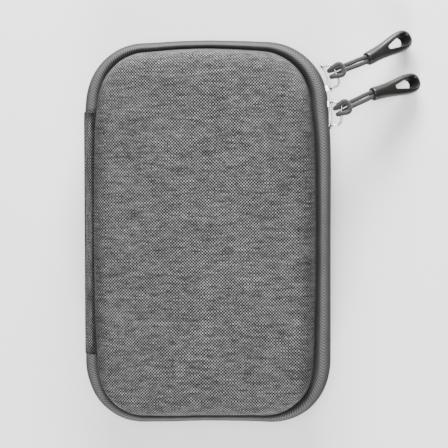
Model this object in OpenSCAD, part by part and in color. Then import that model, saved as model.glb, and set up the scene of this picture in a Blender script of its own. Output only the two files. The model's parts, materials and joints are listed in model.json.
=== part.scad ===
// Cable organizer pouch: a moulded zip case in two shells, joined by a fabric spine on the left.
// It lies on its back. X is its width, Y its height, and Z points up through its thickness.
// The origin is the centre of the flat back face. The two halves meet at the zip, halfway up.
// A half is drawn from sections: x is the distance out from a corner's centre, and y is the
// height above the zip.

/* [Case] */
// Width over the zipper tape
case_w = 128.4; // [120:0.4:150]
// Height over the zipper tape
case_h = 200; // [190:1:230]
// Thickness, closed
case_t = 52; // [50:1:60]
// Radius of the four corners, over the zipper tape
corner_r = 32; // [30:1:36]
// Height of the band of zipper tape between the two shells
band_t = 20.8; // [20.4:0.2:21.6]

/* [Shells] */
// How far the shells stand in from the outside of the zipper tape
shell_inset = 5.8; // [5.4:0.1:6.2]
// Radius of the rounded edge of each moulded face
face_round = 9; // [8:0.5:10]
// Thickness of the woven cover
cover_t = 0.7; // [0.5:0.1:1]
// Thickness of the moulded foam
foam_t = 3; // [2:0.5:4]
// Thickness of the lining
lining_t = 0.5; // [0.3:0.1:0.8]

/* [Zip] */
// Thickness of the zipper tape
tape_t = 0.8; // [0.6:0.1:0.9]
// Length of each slider
slider_l = 15.5; // [13:0.5:16]
// Where the lower slider's middle is, up the right side
slider_2_y = 61.4; // [50:0.2:62]
// How far round the top right corner the upper slider's middle is
slider_1_turn = 22.2; // [22:0.2:30]

/* [Pulls] */
// Diameter of the pull cord
cord_d = 2.4; // [2:0.1:2.6]
// Length of each pull, from its knot to the tip of its tab
pull_l = 44.5; // [44:0.5:50]
// Length of each moulded tab
tab_l = 29.5; // [26:0.5:30]
// Width of the tab's loop
tab_w = 10.8; // [10:0.2:11.2]
// Thickness of the tab
tab_t = 6; // [5:0.5:6]

/* [Inside] */
// Width of each elastic band
band_w = 25; // [20:1:30]
// Distance between the middles of the bands
band_pitch = 50; // [45:1:52]
// Distance between the middles of the loops on a band
loop_pitch = 32; // [31:0.5:33]
// Height of each loop above the lining
loop_h = 9; // [8:0.5:10]
// Height of the mesh pocket's open edge, up the front half
pocket_y = 50; // [30:1:55]

/* [Hidden] */
$fn = 64;
mid_z = case_t / 2;
corner_x = case_w / 2 - corner_r;
corner_y = case_h / 2 - corner_r;
edge_u = band_t / 2;
sewn = 0.05;  // gap between two layers that are sewn and not glued

// Shells
shell_r = corner_r - shell_inset;
foam_r = shell_r - cover_t;
lining_r = foam_r - foam_t;
inner_r = lining_r - lining_t;
foam_top = mid_z - cover_t;
lining_top = foam_top - foam_t;
inner_top = lining_top - lining_t;

// Zip
bulge_r = edge_u - 4;
bulge_x = corner_r - bulge_r;
bulge_u = 4;
coil_in = 0.6;
coil_out = 1.7;
coil_r = corner_r - 1.4;
coil_w = 0.95;
flange_r = shell_r - 2.8;
binding_t = 0.7;
binding_u = 14;
binding_foot = 2.6;

// Spine
spine_top = corner_y - 5;
spine_bottom = -corner_y + 2;
spine_out = corner_r + 0.9;
spine_round = 12;
spine_t = 1.2;
spine_u = edge_u - 0.2;

// Sliders, in a frame with x out from the corner's centre, y towards the nose and z up
slider_h = 6.8;
plate_t = 1.05;
outer_plate_x = corner_r + 0.35;
inner_plate_x = corner_r - 3.7;
plate_corner = 2.4;
wedge_h = 0.6;
wedge_l = 4;
bridge_x = outer_plate_x + plate_t;
bridge_w = 13;
bridge_rise = 5.75;
bridge_bar = 1.1;
bridge_h = 1.6;
bridge_shift = 0.3;

// Pulls
bar_x = bridge_x + bridge_rise - bridge_bar / 2;
hitch_r = 2.4;
hitch_cord = 1.1;
knot_x = 4.6;
knot_r = 1.9;
knot_l = 5.4;
knot_gap = 0.3;
hitch_1_along = 1;
hitch_2_along = 2.8;
hitch = [
    [
        corner_x + bar_x * cos(slider_1_turn) - hitch_1_along * sin(slider_1_turn),
        corner_y + bar_x * sin(slider_1_turn) + hitch_1_along * cos(slider_1_turn)
    ],
    [corner_x + bar_x, slider_2_y + hitch_2_along]
];
pull_turn = [22.5, 26];
tab_turn = [6, -8];
floor_gap = 0.3;
pull_slope = asin((mid_z - tab_t / 2 - floor_gap) / pull_l);
collar_x = pull_l - tab_l;
collar_l = 4;
collar_r = 3.6;
loop_x = tab_l - tab_w / 2;
neck_in = 0.4;
side_lean = 0.1;
hole_tip_x = 15.5;
hole_r = 3;
hole_side_in = 0.2;
hole_side_back = 1;
cord_in_tab = 1;

// Inside
pocket_u = 12.5;
pocket_t = 0.6;
pocket_edge_w = 8;
pocket_edge_t = 1.6;
elastic_t = 1.2;
loop_w = 28;
loop_r = (loop_w * loop_w / 4 + loop_h * loop_h) / (2 * loop_h);
floor_z = mid_z - inner_top;

// The front half stands above the zip, and the rear half is its mirror image below it.
module front() {
    translate([0, 0, mid_z]) children();
}

module rear() {
    translate([0, 0, mid_z]) mirror([0, 0, 1]) children();
}

// Carries a section along the left side, from y0 up to y1.
module along_left(y0, y1) {
    translate([-corner_x, y0, 0]) rotate([90, 0, 180]) linear_extrude(y1 - y0) children();
}

// Carries a section round the top, right and bottom, with all four corners.
module along_zip() {
    translate([corner_x, corner_y, 0]) rotate([90, 0, 0]) linear_extrude(2 * corner_y) children();
    for (side = [0, 1])
        mirror([0, side, 0]) {
            translate([-corner_x, corner_y, 0])
                rotate([90, 0, 90]) linear_extrude(2 * corner_x) children();
            translate([corner_x, corner_y, 0]) rotate_extrude(angle = 90) children();
            translate([-corner_x, corner_y, 0])
                rotate([0, 0, 90]) rotate_extrude(angle = 90) children();
        }
}

module all_round() {
    along_zip() children();
    along_left(-corner_y, corner_y) children();
}

// The filled section of a moulded half: r out to the wall, top up to the face.
module dome_section(r, top, round_r, base) {
    intersection() {
        union() {
            square([r, top - round_r]);
            square([r - round_r, top]);
            translate([r - round_r, top - round_r]) circle(round_r);
        }
        translate([0, base]) square([r, top]);
    }
}

// One moulded layer of a half: its wall, its rounded edge and its face.
module layer(r, top, round_r, t) {
    all_round()
        difference() {
            dome_section(r, top, round_r, edge_u);
            dome_section(r - t, top - t, round_r - t, edge_u - 1);
        }
    translate([-corner_x, -corner_y, top - t]) cube([2 * corner_x, 2 * corner_y, t]);
}

module cover() {
    layer(shell_r, mid_z, face_round, cover_t);
}

module foam_shell() {
    layer(foam_r, foam_top, face_round - cover_t, foam_t);
}

module lining() {
    layer(lining_r, lining_top, face_round - cover_t - foam_t, lining_t);
}

// A strip sewn over the shell's inner edge, with its foot under the zipper tape.
module binding() {
    foot_u = edge_u - 2 * tape_t;
    all_round()
        polygon([
            [inner_r - binding_t, foot_u],
            [inner_r + binding_foot, foot_u],
            [inner_r + binding_foot, foot_u + tape_t],
            [inner_r - sewn, foot_u + tape_t],
            [inner_r - sewn, binding_u],
            [inner_r - binding_t, binding_u]
        ]);
}

// The tape bulges from the shell's edge out and down to the zip.
module tape_section() {
    translate([bulge_x, bulge_u])
        intersection() {
            difference() {
                circle(bulge_r);
                circle(bulge_r - tape_t);
            }
            translate([0, coil_out - bulge_u]) square([bulge_r + 1, 2 * bulge_r]);
        }
    translate([flange_r, edge_u - tape_t]) square([bulge_x - flange_r, tape_t]);
}

module coil_section() {
    translate([coil_r, coil_in]) square([coil_w, coil_out - coil_in]);
}

// Tape and coil stop where the spine begins.
module zipper_run() {
    along_zip() children();
    along_left(spine_top, corner_y) children();
    along_left(-corner_y, spine_bottom) children();
}

// The spine bows out round one centre, so that its layers lie inside each other.
module spine_section(r, t, half_h) {
    translate([spine_out - spine_round, 0])
        intersection() {
            difference() {
                circle(r);
                circle(r - t);
            }
            translate([0, -half_h]) square([r + 1, 2 * half_h]);
        }
}

module rear_cover() {
    color("dimgray") rear() cover();
}

module rear_foam_shell() {
    color("black") rear() foam_shell();
}

module rear_lining() {
    color("gray") rear() lining();
}

module rear_binding() {
    color("darkslategray") rear() binding();
}

module rear_zipper_tape() {
    color("slategray") rear() zipper_run() tape_section();
}

module rear_zipper_coil() {
    color("lightslategray") rear() zipper_run() coil_section();
}

module front_cover() {
    color("dimgray") front() cover();
}

module front_foam_shell() {
    color("black") front() foam_shell();
}

module front_lining() {
    color("gray") front() lining();
}

module front_binding() {
    color("darkslategray") front() binding();
}

module front_zipper_tape() {
    color("slategray") front() zipper_run() tape_section();
}

module front_zipper_coil() {
    color("lightslategray") front() zipper_run() coil_section();
}

module spine_panel() {
    color("dimgray")
        front()
            along_left(spine_bottom + 0.3, spine_top - 0.3)
                spine_section(spine_round, spine_t, spine_u);
}

module spine_lining() {
    color("gray")
        front()
            along_left(spine_bottom + 2, spine_top - 2)
                spine_section(spine_round - spine_t - sewn, lining_t, spine_u - 2);
}

// The outline of the space inside the binding.
module inside_outline() {
    r = inner_r - binding_t - sewn;
    square([2 * corner_x, 2 * (corner_y + r)], center = true);
    square([2 * (corner_x + r), 2 * corner_y], center = true);
    for (x = [-corner_x, corner_x], y = [-corner_y, corner_y])
        translate([x, y]) circle(r);
}

module mesh_pocket() {
    color("darkgray")
        front()
            translate([0, 0, pocket_u])
                linear_extrude(pocket_t)
                    intersection() {
                        inside_outline();
                        translate([-case_w, -case_h]) square([2 * case_w, case_h + pocket_y]);
                    }
}

module mesh_pocket_elastic() {
    w = 2 * (corner_x + inner_r - binding_t - sewn);
    color("dimgray")
        front()
            translate([-w / 2, pocket_y, pocket_u - (pocket_edge_t - pocket_t) / 2])
                cube([w, pocket_edge_w, pocket_edge_t]);
}

// A band is sewn down beside each of its loops.
module elastic_section() {
    centre_z = loop_h - loop_r;
    for (x = [-loop_pitch, 0, loop_pitch])
        translate([x, 0])
            intersection() {
                translate([0, centre_z])
                    difference() {
                        circle(loop_r);
                        circle(loop_r - elastic_t);
                    }
                translate([-loop_w, 0]) square([2 * loop_w, loop_h + 1]);
            }
    for (x = [-1.5, -0.5, 0.5, 1.5])
        translate([x * loop_pitch - 2.6, 0]) square([5.2, elastic_t]);
}

module elastic_band(y) {
    color("black")
        translate([0, y + band_w / 2, floor_z + sewn])
            rotate([90, 0, 0]) linear_extrude(band_w) elastic_section();
}

module elastic_band_lower() {
    elastic_band(-band_pitch);
}

module elastic_band_middle() {
    elastic_band(0);
}

module elastic_band_upper() {
    elastic_band(band_pitch);
}

// Places a slider's own frame on the zip. The two noses face each other.
module at_slider_1() {
    translate([corner_x, corner_y, mid_z]) rotate([0, 0, slider_1_turn]) mirror([0, 1, 0]) children();
}

module at_slider_2() {
    translate([corner_x, slider_2_y, mid_z]) children();
}

module plate(x) {
    w = slider_l / 2 - plate_corner;
    h = slider_h / 2 - plate_corner;
    translate([x, 0, 0])
        rotate([90, 0, 90])
            linear_extrude(plate_t) {
                square([slider_l, 2 * h], center = true);
                square([2 * w, slider_h], center = true);
                for (i = [-w, w], j = [-h, h])
                    translate([i, j]) circle(plate_corner);
            }
}

// Two plates, with the wedge between them at the nose.
module slider_body() {
    color("silver") {
        plate(outer_plate_x);
        plate(inner_plate_x);
        translate([inner_plate_x + plate_t / 2, slider_l / 2 - wedge_l, -wedge_h / 2])
            cube([outer_plate_x - inner_plate_x, wedge_l - 0.8, wedge_h]);
    }
}

// A flat-topped arch with round shoulders, standing on x = 0.
module arch(w, rise, r) {
    translate([-1, -w / 2]) square([rise - r + 1, w]);
    translate([-1, -w / 2 + r]) square([rise + 1, w - 2 * r]);
    for (y = [-w / 2 + r, w / 2 - r])
        translate([rise - r, y]) circle(r);
}

// The bridge stands on the outer plate and carries the pull.
module slider_bridge() {
    color("silver")
        translate([bridge_x, bridge_shift, -bridge_h / 2])
            linear_extrude(bridge_h)
                intersection() {
                    difference() {
                        arch(bridge_w, bridge_rise, 3);
                        arch(bridge_w - 2 * bridge_bar, bridge_rise - bridge_bar, 1.9);
                    }
                    translate([0, -bridge_w]) square([bridge_rise + 1, 2 * bridge_w]);
                }
}

module slider_1_body() {
    at_slider_1() slider_body();
}

module slider_1_bridge() {
    at_slider_1() slider_bridge();
}

module slider_2_body() {
    at_slider_2() slider_body();
}

module slider_2_bridge() {
    at_slider_2() slider_bridge();
}

// A pull's hitch stands level on its bridge, with x along the pull.
module at_hitch(i) {
    translate([hitch[i][0], hitch[i][1], mid_z]) rotate([0, 0, pull_turn[i]]) children();
}

// From the knot on, the pull slopes down to the surface that the case lies on.
module at_pull(i) {
    at_hitch(i) translate([knot_x, 0, 0]) rotate([0, pull_slope, 0]) children();
}

// A ring of cord round the bridge, drawn up into a knot.
module pull_hitch(i) {
    color("slategray")
        at_hitch(i) {
            rotate([90, 0, 0]) rotate_extrude() translate([hitch_r, 0]) circle(hitch_cord);
            translate([knot_x, 0, 0]) rotate([90, 0, 0]) cylinder(r = knot_r, h = knot_l, center = true);
        }
}

// A tab's own frame: the origin in its mouth, and x towards its tip.
module at_tab(i) {
    at_pull(i) translate([collar_x, 0, 0]) rotate([0, 0, tab_turn[i]]) children();
}

// Two strands side by side, from the knot to the mouth of the tab, which cuts them off square.
module pull_cord(i) {
    color("slategray")
        difference() {
            at_pull(i)
                for (y = [-cord_d / 2, cord_d / 2])
                    translate([0, y, 0]) rotate([0, 90, 0]) cylinder(d = cord_d, h = collar_x + cord_in_tab);
            at_pull(i) rotate([90, 0, 0]) cylinder(r = knot_r + knot_gap, h = 2 * tab_w, center = true);
            at_tab(i) translate([0, -tab_w, -tab_w]) cube(2 * tab_w);
        }
}

// The tab: a round collar that widens into a flat loop with a drop-shaped hole. It hangs a little
// to one side of its cord.
module pull_tab(i) {
    tip = tab_w / 2;
    side_x = loop_x - side_lean * tip;
    side_y = tip * sqrt(1 - side_lean * side_lean);
    color("black")
        at_tab(i) {
            rotate([0, 90, 0]) cylinder(r = collar_r, h = collar_l);
            translate([0, 0, -tab_t / 2])
                linear_extrude(tab_t)
                    difference() {
                        union() {
                            translate([loop_x, 0]) circle(tip);
                            polygon([
                                [collar_l, -collar_r + neck_in],
                                [side_x, -side_y],
                                [side_x, side_y],
                                [collar_l, collar_r - neck_in]
                            ]);
                        }
                        translate([loop_x, 0]) circle(hole_r);
                        polygon([
                            [hole_tip_x, 0],
                            [loop_x - hole_side_back, hole_r - hole_side_in],
                            [loop_x - hole_side_back, -hole_r + hole_side_in]
                        ]);
                    }
        }
}

module pull_1_hitch() {
    pull_hitch(0);
}

module pull_1_cord() {
    pull_cord(0);
}

module pull_1_tab() {
    pull_tab(0);
}

module pull_2_hitch() {
    pull_hitch(1);
}

module pull_2_cord() {
    pull_cord(1);
}

module pull_2_tab() {
    pull_tab(1);
}

rear_cover();
rear_foam_shell();
rear_lining();
rear_binding();
rear_zipper_tape();
rear_zipper_coil();
front_cover();
front_foam_shell();
front_lining();
front_binding();
front_zipper_tape();
front_zipper_coil();
spine_panel();
spine_lining();
mesh_pocket();
mesh_pocket_elastic();
elastic_band_lower();
elastic_band_middle();
elastic_band_upper();
slider_1_body();
slider_1_bridge();
slider_2_body();
slider_2_bridge();
pull_1_hitch();
pull_1_cord();
pull_1_tab();
pull_2_hitch();
pull_2_cord();
pull_2_tab();
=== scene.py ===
import json
import math

import bmesh
import bpy
import numpy as np
from mathutils import Matrix, Vector, noise


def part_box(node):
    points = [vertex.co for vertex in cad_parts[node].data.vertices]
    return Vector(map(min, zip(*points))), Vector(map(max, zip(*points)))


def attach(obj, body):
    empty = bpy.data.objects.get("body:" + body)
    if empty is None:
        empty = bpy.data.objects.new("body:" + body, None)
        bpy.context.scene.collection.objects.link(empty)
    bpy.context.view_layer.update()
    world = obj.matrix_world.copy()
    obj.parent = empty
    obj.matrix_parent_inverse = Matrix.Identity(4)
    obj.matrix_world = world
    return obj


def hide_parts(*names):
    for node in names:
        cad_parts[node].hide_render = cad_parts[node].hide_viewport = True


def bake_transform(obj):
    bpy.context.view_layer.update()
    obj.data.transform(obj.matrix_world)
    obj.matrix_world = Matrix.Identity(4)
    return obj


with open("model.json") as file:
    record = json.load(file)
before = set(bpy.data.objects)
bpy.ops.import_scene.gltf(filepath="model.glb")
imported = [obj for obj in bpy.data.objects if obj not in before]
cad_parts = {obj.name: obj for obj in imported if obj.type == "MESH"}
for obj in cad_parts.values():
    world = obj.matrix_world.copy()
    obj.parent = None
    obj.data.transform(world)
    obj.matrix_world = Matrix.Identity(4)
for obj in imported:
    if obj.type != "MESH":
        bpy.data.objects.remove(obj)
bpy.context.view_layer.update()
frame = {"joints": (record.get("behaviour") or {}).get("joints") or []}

MM = 0.001

# ---- places from the frame
JOINTS = {j["name"]: j for j in frame["joints"]}
TAPE_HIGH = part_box("front_zipper_tape")[1]
COVER_LOW, COVER_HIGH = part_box("front_cover")
CORNER_R = 32 * MM
CORNER_X = TAPE_HIGH.x - CORNER_R
CORNER_Y = TAPE_HIGH.y - CORNER_R
MID_Z = (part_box("rear_zipper_tape")[0].z + TAPE_HIGH.z) / 2
HALF_T = COVER_HIGH.z - MID_Z
EDGE_U = COVER_LOW.z - MID_Z
SHELL_R = COVER_HIGH.x - CORNER_X
SPINE_LOW, SPINE_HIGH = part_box("spine_panel")
SPINE_ROUND = 12 * MM
SPINE_U = (SPINE_HIGH.z - SPINE_LOW.z) / 2
FOLD_ANGLE = 26
FOLD_V = SPINE_ROUND * math.radians(FOLD_ANGLE)
FLANGE_V = SPINE_ROUND * math.asin(SPINE_U / SPINE_ROUND)
SPINE_MID_Y = (SPINE_LOW.y + SPINE_HIGH.y) / 2
SPINE_HALF = (SPINE_HIGH.y - SPINE_LOW.y) / 2
FLOOR_Z = COVER_HIGH.z - 2 * HALF_T


def new_object(name, data):
    obj = bpy.data.objects.new(name, data)
    bpy.context.scene.collection.objects.link(obj)
    return obj


def place(obj, body, slot, *nodes):
    """Says which body a piece rides on and which nodes it stands for. slot is not used."""
    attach(obj, body)
    if nodes:
        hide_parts(*nodes)


# ---- camera
LENS = 122
CAMERA_AWAY = 0.8
CAMERA_TARGET = Vector((9.3, 3.8, 26)) * MM
CAMERA_TURN_X = math.radians(6)
CAMERA_TURN_Y = math.radians(3.7)


def camera():
    """Almost straight down with +Y up, from a little to the right of the case and above its middle."""
    data = bpy.data.cameras.new("camera")
    cam = new_object("camera", data)
    data.sensor_width = 36
    data.lens = LENS
    back = Vector((math.tan(CAMERA_TURN_X), math.tan(CAMERA_TURN_Y), 1)).normalized()
    right = Vector((0, 1, 0)).cross(back).normalized()
    up = back.cross(right)
    cam.location = CAMERA_TARGET + back * CAMERA_AWAY
    cam.rotation_euler = Matrix((right, up, back)).transposed().to_euler()
    bpy.context.scene.camera = cam


camera()


# ---- node materials
class Shader:
    """A material whose nodes are made by short calls. It ends in one Principled node."""

    def __init__(self, name):
        self.material = bpy.data.materials.new(name)
        self.material.use_nodes = True
        self.tree = self.material.node_tree
        self.tree.nodes.clear()
        self.principled = self.tree.nodes.new("ShaderNodeBsdfPrincipled")
        out = self.tree.nodes.new("ShaderNodeOutputMaterial")
        self.tree.links.new(self.principled.outputs[0], out.inputs[0])

    def put(self, socket, value):
        if isinstance(value, bpy.types.NodeSocket):
            self.tree.links.new(value, socket)
        elif value is not None:
            socket.default_value = value

    def math(self, operation, a, b=None, c=None):
        n = self.tree.nodes.new("ShaderNodeMath")
        n.operation = operation
        for socket, value in zip(n.inputs, (a, b, c)):
            self.put(socket, value)
        return n.outputs[0]

    def times(self, first, *others):
        for value in others:
            first = self.math("MULTIPLY", first, value)
        return first

    def scaled(self, value, factor, add):
        return self.math("MULTIPLY_ADD", value, factor, add)

    def size(self, value):
        return self.math("ABSOLUTE", value)

    def waves(self, value, pitch):
        """Round ridges from 0 to 1, one for each pitch."""
        return self.size(self.math("SINE", self.math("MULTIPLY", value, math.pi / pitch)))

    def uv(self):
        n = self.tree.nodes.new("ShaderNodeUVMap")
        n.uv_map = "Weave"
        return self.split(n.outputs[0])

    def position(self):
        n = self.tree.nodes.new("ShaderNodeTexCoord")
        return n.outputs["Object"]

    def split(self, vector):
        n = self.tree.nodes.new("ShaderNodeSeparateXYZ")
        self.put(n.inputs[0], vector)
        return n.outputs[0], n.outputs[1], n.outputs[2]

    def join(self, x, y, z=0.0):
        n = self.tree.nodes.new("ShaderNodeCombineXYZ")
        for socket, value in zip(n.inputs, (x, y, z)):
            self.put(socket, value)
        return n.outputs[0]

    def noise(self, vector, scale, detail, rough=0.5):
        n = self.tree.nodes.new("ShaderNodeTexNoise")
        self.put(n.inputs["Vector"], vector)
        self.put(n.inputs["Scale"], scale)
        self.put(n.inputs["Detail"], detail)
        self.put(n.inputs["Roughness"], rough)
        return n.outputs[0]

    def remap(self, value, low, high, to_low, to_high):
        n = self.tree.nodes.new("ShaderNodeMapRange")
        for socket, v in zip(n.inputs, (value, low, high, to_low, to_high)):
            self.put(socket, v)
        return n.outputs[0]

    def mix(self, factor, a, b):
        """A number between a and b."""
        return self.math("MULTIPLY_ADD", factor, self.math("SUBTRACT", b, a), a)

    def tint(self, value, colour):
        """A grey value times a colour."""
        n = self.tree.nodes.new("ShaderNodeVectorMath")
        n.operation = "SCALE"
        n.inputs[0].default_value = colour
        self.put(n.inputs["Scale"], value)
        return n.outputs[0]

    def bump(self, height, distance, strength):
        n = self.tree.nodes.new("ShaderNodeBump")
        n.inputs["Strength"].default_value = strength
        n.inputs["Distance"].default_value = distance
        self.put(n.inputs["Height"], height)
        return n.outputs[0]

    def patches(self, vector, scale, detail, low, high, spread=0.2):
        """Noise stretched so that its usual range runs from low to high."""
        return self.remap(self.noise(vector, scale, detail), 0.5 - spread, 0.5 + spread, low, high)

    def finish(self, **sockets):
        for name, value in sockets.items():
            self.put(self.principled.inputs[name.replace("_", " ")], value)
        return self.material


# Painted shade at the ends of the spine strip.
PAINTED_END_SHADE = 0.1
YARN = 0.79 * MM
WEFT_TONE = 0.155
WARP_TONE = 0.004
WEFT_SPREAD = 0.6
SPECKLE = 0.15
HEATHER_TINT = (0.985, 0.993, 1.0)


def woven(name, painted_hem_shade=1.0, painted_side_shade=1.0, strip=False):
    """Plain weave. Its crosswise yarns are mixed light and dark, each keeping its tone a little way."""
    s = Shader(name)
    u, v, _ = s.uv()
    off_middle = s.size(v)
    wander = s.scaled(s.noise(s.join(u, v), 45, 1), 1.6 * YARN, -0.8 * YARN)
    u = s.math("DIVIDE", s.scaled(wander, 0.6, u), YARN)
    v = s.math("DIVIDE", s.math("ADD", v, wander), YARN)
    column, row = s.math("FLOOR", u), s.math("FLOOR", v)
    in_u, in_v = s.math("FRACT", u), s.math("FRACT", v)
    over = s.math("FLOORED_MODULO", s.math("ADD", column, row), 2.0)
    weft = s.noise(s.join(s.times(u, 0.12), s.times(row, 4.13), 9.0), 1.0, 3, 0.65)
    slub = s.noise(s.join(s.times(u, 0.04), s.times(row, 2.77), 4.0), 1.0, 1)
    warp = s.noise(s.join(s.times(column, 3.71), s.times(v, 0.11), 3.0), 1.0, 2)
    weft = s.times(s.remap(weft, 0.32, 0.68, 1 - WEFT_SPREAD, 1 + WEFT_SPREAD), WEFT_TONE)
    weft = s.times(weft, s.remap(slub, 0.35, 0.65, 0.85, 1.15))
    warp = s.times(s.remap(warp, 0.3, 0.7, 0.3, 1.7), WARP_TONE)
    tone = s.mix(over, warp, weft)
    across = s.math("SINE", s.times(in_u, math.pi))
    along = s.math("SINE", s.times(in_v, math.pi))
    height = s.math("POWER", s.times(across, along), 0.5)
    shade = s.scaled(height, 0.6, 0.55)
    fibre = s.patches(s.join(u, v, 0.3), 4.0, 2, 0.85, 1.15)
    cloud = s.patches(s.join(u, v, 5.0), 0.05, 3, 0.9, 1.1, 0.15)
    # Where the yarns twist, single crossings are far lighter or darker than their neighbours.
    speck = s.noise(s.join(s.times(column, 7.31), s.times(row, 5.77), 1.0), 1.0, 1)
    fibre = s.times(fibre, s.remap(speck, 0.3, 0.7, 1 - SPECKLE, 1 + SPECKLE))
    tone = s.times(s.times(tone, shade), s.times(fibre, cloud))
    # Painted shade: the colour is darkened towards the hem of the wall and on the side walls, where the
    # rounded edge turns away from the lights.
    x, y, z = s.split(s.position())
    up = s.size(s.math("SUBTRACT", z, MID_Z))
    tone = s.times(tone, s.remap(up, EDGE_U + 1 * MM, EDGE_U + 10.5 * MM, painted_hem_shade, 1.0))
    wall_x = CORNER_X + SHELL_R
    tone = s.times(tone, s.remap(s.size(x), wall_x - 10 * MM, wall_x - 3.5 * MM, 1.0, painted_side_shade))
    if strip:
        # Painted shade: the strip's ends, its two folds and the parts under the hems are darkened in colour.
        length = s.size(s.math("SUBTRACT", y, SPINE_MID_Y))
        crease = s.size(s.math("SUBTRACT", off_middle, FOLD_V))
        tone = s.times(
            tone,
            s.remap(length, SPINE_HALF - 0.7 * MM, SPINE_HALF - 0.1 * MM, 1.0, PAINTED_END_SHADE),
            s.remap(crease, 0.15 * MM, 0.8 * MM, 0.35, 1.0),
            s.remap(off_middle, FLANGE_V - 0.9 * MM, FLANGE_V + 0.5 * MM, 1.0, 0.3),
        )
    return s.finish(
        Base_Color=s.tint(tone, HEATHER_TINT),
        Roughness=s.remap(height, 0.0, 1.0, 0.95, 0.8),
        Normal=s.bump(height, YARN * 0.3, 0.8),
        Specular_IOR_Level=0.15,
    )


def ribbed_tape(name, tone, pitch, band, slope, depth, painted_edge_shade=1.0, painted_seam_shade=1.0):
    """Herringbone tape: slanting ribs that turn back at the edges of lengthwise bands."""
    s = Shader(name)
    u, v, _ = s.uv()
    zigzag = s.math("PINGPONG", s.math("ADD", v, 0.1), band)
    run = s.math("DIVIDE", s.math("ADD", u, s.times(zigzag, slope)), pitch)
    rib = s.size(s.math("SINE", s.times(run, math.pi)))
    thread = s.waves(v, 0.55 * MM)
    height = s.scaled(thread, 0.1, s.times(rib, 0.9))
    fibre = s.patches(s.join(u, v), 2200, 2, 0.94, 1.06)
    patch = s.patches(s.join(u, v, 2.0), 90, 2, 0.92, 1.08, 0.15)
    shade = s.scaled(height, depth, 1 - 0.62 * depth)
    value = s.times(s.times(shade, tone), s.times(fibre, patch))
    # Painted shade: the sides that turn down to the coil and to the seam are darkened in colour.
    value = s.times(value, s.remap(v, 8 * MM, 11 * MM, 1.0, painted_edge_shade))
    value = s.times(value, s.remap(v, 2.4 * MM, 6.2 * MM, painted_seam_shade, 1.0))
    return s.finish(
        Base_Color=s.tint(value, (1.0, 1.0, 1.01)),
        Roughness=0.85,
        Normal=s.bump(height, 0.16 * MM, 0.8),
        Specular_IOR_Level=0.15,
    )


def knit(name, tone):
    """Smooth warp knit: fine wales with a soft brushed face."""
    s = Shader(name)
    u, v, _ = s.uv()
    wale = s.waves(u, 0.7 * MM)
    course = s.waves(v, 0.5 * MM)
    height = s.scaled(wale, 0.7, s.times(course, 0.3))
    fuzz = s.patches(s.join(u, v), 900, 3, 0.8, 1.2)
    cloud = s.patches(s.join(u, v, 4.0), 40, 2, 0.9, 1.1, 0.15)
    value = s.times(s.times(fuzz, cloud), s.scaled(height, 0.3 * tone, 0.8 * tone))
    return s.finish(
        Base_Color=s.tint(value, (1.0, 1.0, 1.03)),
        Roughness=0.9,
        Normal=s.bump(height, 0.1 * MM, 0.5),
        Sheen_Weight=0.35,
        Sheen_Roughness=0.4,
    )


def elastic_weave(name, tone):
    """Woven elastic: raised cords along its length, crossed by fine weft."""
    s = Shader(name)
    u, v, _ = s.uv()
    cord = s.waves(v, 1.25 * MM)
    weft = s.waves(u, 0.6 * MM)
    height = s.scaled(cord, 0.75, s.times(weft, 0.25))
    fibre = s.patches(s.join(u, v), 1500, 2, 0.85, 1.15)
    value = s.times(fibre, s.scaled(height, 0.6 * tone, 0.55 * tone))
    return s.finish(
        Base_Color=s.tint(value, (1, 1, 1)),
        Roughness=0.8,
        Normal=s.bump(height, 0.2 * MM, 0.8),
        Sheen_Weight=0.2,
        Sheen_Roughness=0.4,
    )


def plated_metal(name):
    """Bright nickel plate with faint casting ripple and handling marks."""
    s = Shader(name)
    where = s.position()
    ripple = s.noise(where, 500, 3)
    marks = s.noise(where, 2600, 4, 0.7)
    value = s.patches(where, 260, 2, 0.28, 0.38)
    return s.finish(
        Base_Color=s.tint(value, (1.0, 0.985, 0.95)),
        Metallic=1.0,
        Roughness=s.remap(marks, 0.35, 0.65, 0.16, 0.3),
        Normal=s.bump(ripple, 0.03 * MM, 0.5),
    )


def moulded_rubber(name):
    """Satin black moulded rubber, slightly olive, with a fine eroded grain."""
    s = Shader(name)
    where = s.position()
    grain = s.noise(where, 4200, 3)
    cloud = s.noise(where, 220, 2)
    value = s.remap(cloud, 0.3, 0.7, 0.006, 0.009)
    return s.finish(
        Base_Color=s.tint(value, (1.0, 1.02, 0.9)),
        Roughness=s.remap(grain, 0.3, 0.7, 0.28, 0.42),
        Normal=s.bump(grain, 0.02 * MM, 0.6),
    )


def braided(name, tone):
    """Braided cord: crossing strands, lighter on their crowns."""
    s = Shader(name)
    u, v, _ = s.uv()
    lay = math.pi / (1.1 * MM)
    left = s.math("SINE", s.scaled(u, lay, s.times(v, math.pi * 8)))
    right = s.math("SINE", s.scaled(u, lay, s.times(v, -math.pi * 8)))
    height = s.size(s.times(left, right))
    fibre = s.patches(s.position(), 3500, 2, 0.75, 1.25)
    value = s.times(fibre, s.scaled(height, 0.8 * tone, 0.5 * tone))
    return s.finish(
        Base_Color=s.tint(value, (0.98, 1.0, 1.05)),
        Roughness=0.75,
        Normal=s.bump(height, 0.12 * MM, 0.6),
        Sheen_Weight=0.25,
        Sheen_Roughness=0.4,
    )


def nylon(name, tone):
    """Drawn nylon thread with a soft shine."""
    s = Shader(name)
    value = s.patches(s.position(), 900, 2, 0.85 * tone, 1.15 * tone)
    return s.finish(Base_Color=s.tint(value, (1.0, 1.0, 1.02)), Roughness=0.42)


def foam(name):
    """Matt closed-cell foam."""
    s = Shader(name)
    where = s.position()
    cells = s.noise(where, 2400, 3)
    value = s.patches(where, 120, 2, 0.025, 0.04)
    return s.finish(
        Base_Color=s.tint(value, (1, 1, 1)),
        Roughness=0.9,
        Normal=s.bump(cells, 0.06 * MM, 0.6),
    )


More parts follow.
